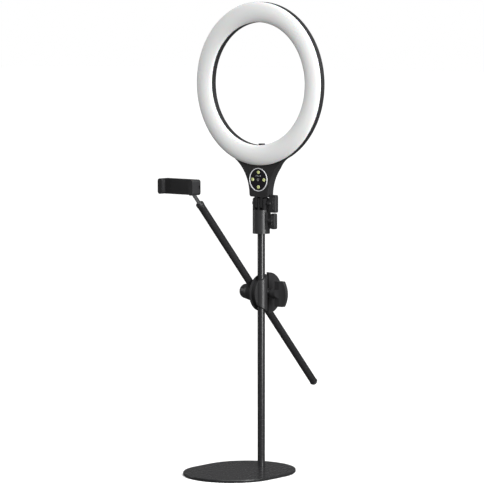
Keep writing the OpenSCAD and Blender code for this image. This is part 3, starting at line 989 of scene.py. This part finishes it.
@dataclass
class Clamp:
    """The arm's clamp on the pole, with its hub and its two knobs."""

    palette: Palette

    def build(self) -> None:
        """Rounds the head's collar, the jaws, the hub and the knobs."""
        softened = {
            "head_collar": ("collar", 0.6), "clamp_jaw_left": ("clamp", 0.9),
            "clamp_jaw_right": ("clamp", 0.8), "arm_hub": ("arm_hub", 0.8),
            "wing_knob": ("wing_knob", 1.4), "ribbed_knob": ("ribbed_knob", 0.45),
        }
        for node, (body, width) in softened.items():
            Form().copy_of(node, width * MM, segments=3).finish(
                node + "_body", body, [node], self.palette[Slot.PLASTIC], Slot.PLASTIC
            )


@dataclass
class Arm:
    """The arm tube, its caps and the bright rod with its ball."""

    palette: Palette

    def build(self) -> None:
        """Rounds the tube, its caps and the rod."""
        pieces = {
            "arm_tube": ("arm", Slot.PAINT, 0.3), "arm_tail_cap": ("arm", Slot.PLASTIC, 0.5),
            "arm_end_ring": ("arm", Slot.PLASTIC, 0.8), "arm_rod": ("rod", Slot.CHROME, 0.2),
            "ball_socket": ("socket", Slot.PLASTIC, 0.5),
        }
        for node, (body, slot, width) in pieces.items():
            Form().copy_of(node, width * MM).finish(
                node + "_body", body, [node], self.palette[slot], slot
            )


@dataclass
class Holder:
    """The phone holder's two jaws and their ribbed pads."""

    palette: Palette
    rib: float = 0.9 * MM
    ribs: int = 8
    rib_end: float = 0.6 * MM
    backing: float = 0.55

    def build(self) -> None:
        """Builds the jaws and the pads."""
        plastic = self.palette[Slot.PLASTIC]
        for node, body in (("holder_body", "holder"), ("sliding_jaw", "jaw")):
            Form().copy_of(node, 0.7 * MM, segments=3).finish(
                node + "_shell", body, [node], plastic, Slot.PLASTIC
            )
        self._pad("fixed_jaw_pad", "holder", -1)
        self._pad("sliding_jaw_pad", "jaw", 1)

    def _pad(self, node: str, body: str, side: int) -> None:
        """Builds one rubber pad with grip ribs.

        Args:
            node: The pad's node.
            body: The body it rides on.
            side: The way it grips, 1 for +x and -1 for -x.
        """
        space = Space(node)
        low, high = space.low, space.high
        back_low, back_high = low.copy(), high.copy()
        if side > 0:
            back_high.x = low.x + space.size.x * self.backing
        else:
            back_low.x = high.x - space.size.x * self.backing
        form = Form().block(back_low, back_high, 0.12 * MM)
        pitch = space.size.z / self.ribs
        for index in range(self.ribs):
            z = low.z + (index + 0.5) * pitch
            rib_low = Vector((low.x, low.y + self.rib_end, z - self.rib / 2))
            rib_high = Vector((high.x, high.y - self.rib_end, z + self.rib / 2))
            form.block(rib_low, rib_high, 0.2 * MM)
        form.finish(node + "_rubber", body, [node], self.palette[Slot.RUBBER], Slot.RUBBER)


# ---------------------------------------------------------------- studio


@dataclass(frozen=True)
class SoftBox:
    """One soft box that faces the light stand.

    azimuth is counted from the camera, in degrees; away is the distance from the pole, height is
    above the floor, size is width and height, and power is in watts.
    """

    name: str
    azimuth: float
    away: float
    height: float
    size: Point
    power: float

    def place(self, camera: float, aim: Vector) -> None:
        """Adds the box to the studio.

        Args:
            camera: The camera's azimuth, in degrees.
            aim: The point that the box faces.
        """
        turn = math.radians(camera + self.azimuth)
        spot = Vector((math.sin(turn) * self.away, -math.cos(turn) * self.away, self.height))
        data = bpy.data.lights.new(self.name, "AREA")
        data.shape = "RECTANGLE"
        data.size, data.size_y = self.size
        data.energy = self.power
        lamp = bpy.data.objects.new(self.name, data)
        lamp.location = spot
        lamp.rotation_euler = (aim - spot).to_track_quat("-Z", "Y").to_euler()
        bpy.context.scene.collection.objects.link(lamp)


@dataclass
class Studio:
    """Pale floor, soft lights and the camera."""

    azimuth: float = 40.66
    distance: float = 4.759
    height: float = 0.832
    pitch: float = 4.90
    lens: float = 192.05
    shift: float = -0.0398
    air: float = 0.34
    mirrored_air: float = 0.12
    floor_size: float = 30.0
    floor_tone: float = 0.98
    floor_bounce: float = 0.07
    aim: float = 0.5
    sky: float = 3.0
    sky_width: float = 70.0
    sky_heading: tuple[float, float, float] = (-0.50, 0.30, -0.95)

    def build(self) -> None:
        """Builds the studio."""
        self._floor()
        self._air()
        self._lights()
        self._camera()

    def _floor(self) -> None:
        """Makes the pale floor, which throws little light back on the stand."""
        bench = Bench("studio_floor")
        seen = bench.add("ShaderNodeLightPath", {}, {}, "Is Camera Ray")
        tone = bench.mix(seen, (self.floor_bounce,) * 3, (self.floor_tone,) * 3)
        bench.feed(Base_Color=tone, Roughness=0.9, Specular_IOR_Level=0.1)
        shape = bmesh.new()
        bmesh.ops.create_grid(shape, x_segments=1, y_segments=1, size=self.floor_size)
        mesh = bpy.data.meshes.new("studio_floor")
        shape.to_mesh(mesh)
        shape.free()
        mesh.materials.append(bench.material)
        floor = bpy.data.objects.new("studio_floor", mesh)
        bpy.context.scene.collection.objects.link(floor)

    def _air(self) -> None:
        """Makes the white surroundings, which are dimmer in reflections."""
        world = bpy.data.worlds.new("studio_air")
        bpy.context.scene.world = world
        world.use_nodes = True
        tree = world.node_tree
        air = tree.nodes["Background"]
        path = tree.nodes.new("ShaderNodeLightPath")
        level: bpy.types.NodeSocket = path.outputs["Is Glossy Ray"]
        for kind, low, high in (("Is Glossy Ray", self.air, self.mirrored_air), ("Is Camera Ray", None, 1.0)):
            blend = tree.nodes.new("ShaderNodeMapRange")
            if low is None:
                tree.links.new(level, blend.inputs["To Min"])
            else:
                blend.inputs["To Min"].default_value = low
            blend.inputs["To Max"].default_value = high
            tree.links.new(path.outputs[kind], blend.inputs["Value"])
            level = blend.outputs["Result"]
        tree.links.new(level, air.inputs["Strength"])
        air.inputs["Color"].default_value = (1.0, 1.0, 1.0, 1.0)
        bpy.context.scene.view_settings.view_transform = "Standard"

    def _lights(self) -> None:
        """Places a wide sky light, a tall box on each side of the camera and two soft fills."""
        boxes = (
            SoftBox("box_right", 37, 1.6, 0.5, (0.6, 1.8), 38),
            SoftBox("box_left", -112, 2.6, 0.5, (0.6, 2.0), 9),
            SoftBox("front_fill", -24, 3.6, 1.6, (1.2, 1.2), 5),
            SoftBox("side_fill", 72, 2.4, 2.0, (1.0, 1.0), 14),
        )
        for box in boxes:
            box.place(self.azimuth, Vector((0.0, 0.0, self.aim)))
        data = bpy.data.lights.new("sky", "SUN")
        data.energy = self.sky
        data.angle = math.radians(self.sky_width)
        sky = bpy.data.objects.new("sky", data)
        sky.rotation_euler = Vector(self.sky_heading).to_track_quat("-Z", "Y").to_euler()
        bpy.context.scene.collection.objects.link(sky)

    def _camera(self) -> None:
        """Places the camera."""
        turn, tilt = math.radians(self.azimuth), math.radians(self.pitch)
        data = bpy.data.cameras.new("camera")
        data.lens = self.lens
        data.sensor_width = 36.0
        data.shift_x = self.shift
        data.clip_end = 100.0
        camera = bpy.data.objects.new("camera", data)
        camera.location = (math.sin(turn) * self.distance, -math.cos(turn) * self.distance, self.height)
        camera.rotation_euler = (math.pi / 2 - tilt, 0.0, turn)
        bpy.context.scene.collection.objects.link(camera)
        bpy.context.scene.camera = camera


def main() -> None:
    """Builds the whole light in order."""
    logging.basicConfig(level=logging.INFO, format="%(name)s: %(message)s")
    Studio().build()
    palette = Palette().build()
    palette.dress_nodes()
    Stand(palette).build()
    Head(palette).build()
    Knob(palette, "tilt_knob", "tilt_knob", 4.4 * MM, bore=2.55 * MM).build()
    Knob(palette, "collar_knob", "collar_knob", 7.9 * MM).build()
    Clamp(palette).build()
    Arm(palette).build()
    Holder(palette).build()


if __name__ == "__main__":
    main()
